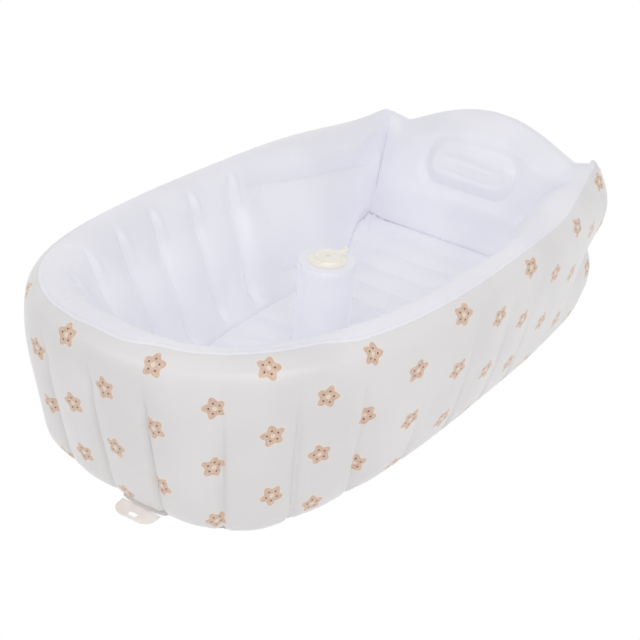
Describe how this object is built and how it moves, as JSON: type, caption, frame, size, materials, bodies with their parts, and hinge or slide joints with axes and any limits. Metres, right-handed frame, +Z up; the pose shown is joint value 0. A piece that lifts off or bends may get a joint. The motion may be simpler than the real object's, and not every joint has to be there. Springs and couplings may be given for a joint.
{
  "type": "inflatable baby bathtub",
  "caption": "Inflatable baby bathtub with a fluted ring wall, sloping backrest with pillow, ribbed air floor, seat post, capped air valves, drain plug and hanging tab.",
  "frame": {"origin": "middle of the footprint, on the surface the tub stands on", "axes": "+X from the foot end to the head end, +Y across the tub to the left seen from the foot end, +Z up"},
  "size_m": [0.9791, 0.5678, 0.301],
  "materials": {
    "printed_skin": "satin printed vinyl film",
    "inner_skin": "satin vinyl film",
    "floor_skin": "satin vinyl film",
    "valve_vinyl": "soft moulded vinyl",
    "clear_vinyl": "milky clear vinyl sheet"
  },
  "bodies": {
    "tub": {"wall_chamber": "printed_skin", "rim_seam": "inner_skin", "base_sheet": "floor_skin", "floor_pad": "floor_skin", "backrest_chamber": "inner_skin", "head_pillow": "inner_skin", "pillow_weld": "inner_skin", "crease_flange": "inner_skin", "seat_post": "inner_skin", "post_top_disc": "inner_skin", "post_base_flange": "floor_skin", "drain_tube": "valve_vinyl", "drain_tether": "valve_vinyl", "wall_valve_body": "valve_vinyl", "wall_valve_strap": "valve_vinyl", "backrest_valve_body": "valve_vinyl", "backrest_valve_strap": "valve_vinyl", "floor_valve_body": "valve_vinyl", "floor_valve_strap": "valve_vinyl", "post_valve_body": "valve_vinyl", "post_valve_strap": "valve_vinyl"},
    "wall_cap": {"wall_valve_cap": "valve_vinyl"},
    "backrest_cap": {"backrest_valve_cap": "valve_vinyl"},
    "floor_cap": {"floor_valve_cap": "valve_vinyl"},
    "post_cap": {"post_valve_cap": "valve_vinyl"},
    "drain_plug_body": {"drain_plug": "valve_vinyl"},
    "tab": {"hanging_tab": "clear_vinyl"}
  },
  "joints": [
    {"name": "wall_cap_hinge", "type": "hinge", "parent": "tub", "child": "wall_cap", "pos_m": [0.4874, 0, 0.18136], "axis": [0, -1, 0], "range_deg": [0, 120], "deforming": ["wall_valve_strap"]},
    {"name": "backrest_cap_hinge", "type": "hinge", "parent": "tub", "child": "backrest_cap", "pos_m": [0.46875, 0, 0.27508], "axis": [0, -1, 0], "range_deg": [0, 120], "deforming": ["backrest_valve_strap"]},
    {"name": "floor_cap_hinge", "type": "hinge", "parent": "tub", "child": "floor_cap", "pos_m": [-0.147, -0.073, 0.0373], "axis": [0, 1, 0], "range_deg": [0, 120], "deforming": ["floor_valve_strap"]},
    {"name": "post_cap_hinge", "type": "hinge", "parent": "tub", "child": "post_cap", "pos_m": [-0.059, 0, 0.1844], "axis": [0, -1, 0], "range_deg": [0, 120], "deforming": ["post_valve_strap"]},
    {"name": "drain_plug_pull", "type": "slide", "parent": "tub", "child": "drain_plug_body", "axis": [0, 0, 1], "range_m": [0, 0.03], "deforming": ["drain_tether"]},
    {"name": "tab_flex", "type": "hinge", "parent": "tub", "child": "tab", "pos_m": [-0.45336, -0.038, 0], "axis": [-0.0913, 0.9958, 0], "range_deg": [0, 60]}
  ]
}
